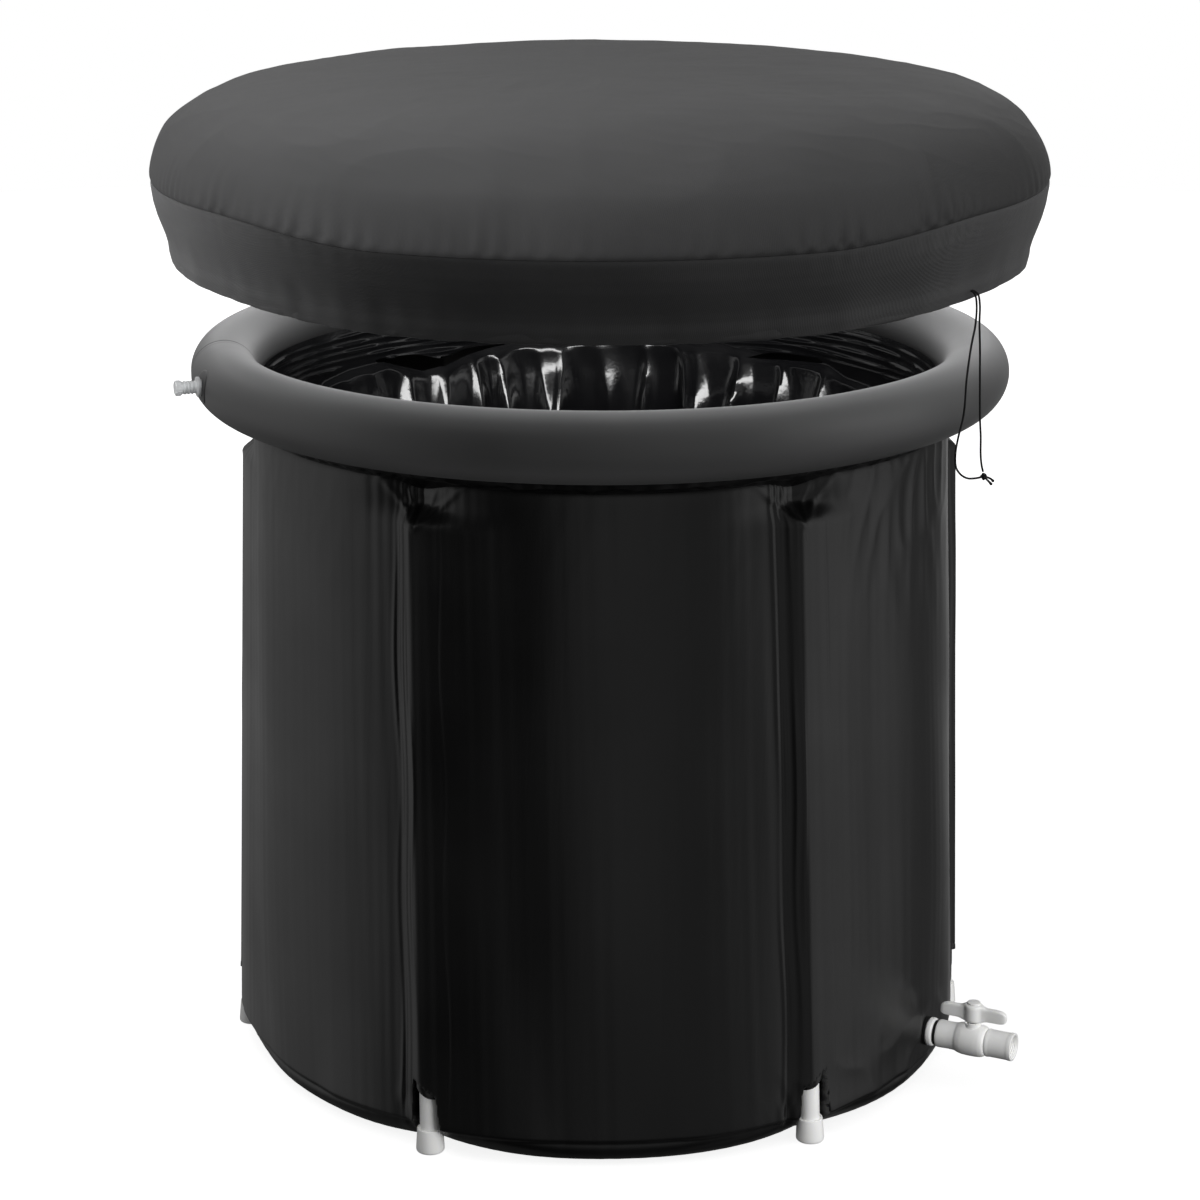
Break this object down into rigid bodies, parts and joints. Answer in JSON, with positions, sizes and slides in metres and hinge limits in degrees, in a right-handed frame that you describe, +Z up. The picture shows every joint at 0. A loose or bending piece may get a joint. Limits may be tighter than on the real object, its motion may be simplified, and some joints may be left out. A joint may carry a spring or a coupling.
{
  "type": "cold plunge tub",
  "caption": "Round soft-sided cold plunge tub on upright pipe legs, with an inflated rim, a glossy liner, a ball valve drain and a domed drawstring cover.",
  "frame": {"origin": "middle of the base, on the ground", "axes": "+Z up, +X along the drain's bore, out of the tub"},
  "size_m": [0.9176, 0.896, 1.014],
  "materials": {
    "wall": "satin",
    "liner": "gloss",
    "ring": "matte",
    "cover": "matte",
    "foam": "matte",
    "plastic": "semi-gloss",
    "clear": "gloss",
    "rubber": "matte",
    "cord": "matte"
  },
  "bodies": {
    "tub": {"outer_wall": "wall", "wall_foam": "foam", "base_sheet": "wall", "floor_foam": "foam", "inner_liner": "liner", "top_hem_band": "wall", "leg_pipe_1": "plastic", "leg_pipe_2": "plastic", "leg_pipe_3": "plastic", "leg_pipe_4": "plastic", "leg_pipe_5": "plastic", "leg_pipe_6": "plastic", "foot_cap_1": "plastic", "foot_cap_2": "plastic", "foot_cap_3": "plastic", "foot_cap_4": "plastic", "foot_cap_5": "plastic", "foot_cap_6": "plastic", "leg_plug_1": "plastic", "leg_plug_2": "plastic", "leg_plug_3": "plastic", "leg_plug_4": "plastic", "leg_plug_5": "plastic", "leg_plug_6": "plastic", "leg_sleeve_1": "wall", "leg_sleeve_2": "wall", "leg_sleeve_3": "wall", "leg_sleeve_4": "wall", "leg_sleeve_5": "wall", "leg_sleeve_6": "wall", "air_ring": "ring", "air_valve_patch": "ring", "air_valve_stem": "clear", "drain_flange": "plastic", "drain_inner_gasket": "rubber", "drain_outer_gasket": "rubber", "drain_lock_nut": "plastic", "drain_groove_ring": "rubber", "drain_valve_body": "plastic", "drain_outlet": "plastic", "drain_seat_inlet": "rubber", "drain_seat_outlet": "rubber", "drain_stem_seal": "rubber"},
    "cover": {"cover_top": "cover", "cover_foam": "foam", "cover_band": "cover", "cover_hem": "cover", "drawstring_run": "cord", "drawstring_left": "cord", "drawstring_right": "cord", "drawstring_knot": "cord"},
    "drain_lever": {"drain_ball": "plastic", "drain_stem": "plastic", "drain_handle": "plastic", "drain_handle_cap": "plastic"},
    "air_plug": {"air_valve_plug": "clear"}
  },
  "joints": [
    {"name": "cover_lift", "type": "slide", "parent": "tub", "child": "cover", "axis": [0, 0, 1], "range_m": [-0.1929, 0.25], "deforming": ["air_valve_stem", "air_valve_plug"]},
    {"name": "drain_handle_turn", "type": "hinge", "parent": "tub", "child": "drain_lever", "pos_m": [0.42532, 0, 0.051], "axis": [0, 0, 1], "range_deg": [0, 90]},
    {"name": "air_plug_pull", "type": "slide", "parent": "tub", "child": "air_plug", "axis": [-0.6947, -0.7193, 0], "range_m": [0, 0.03]}
  ]
}
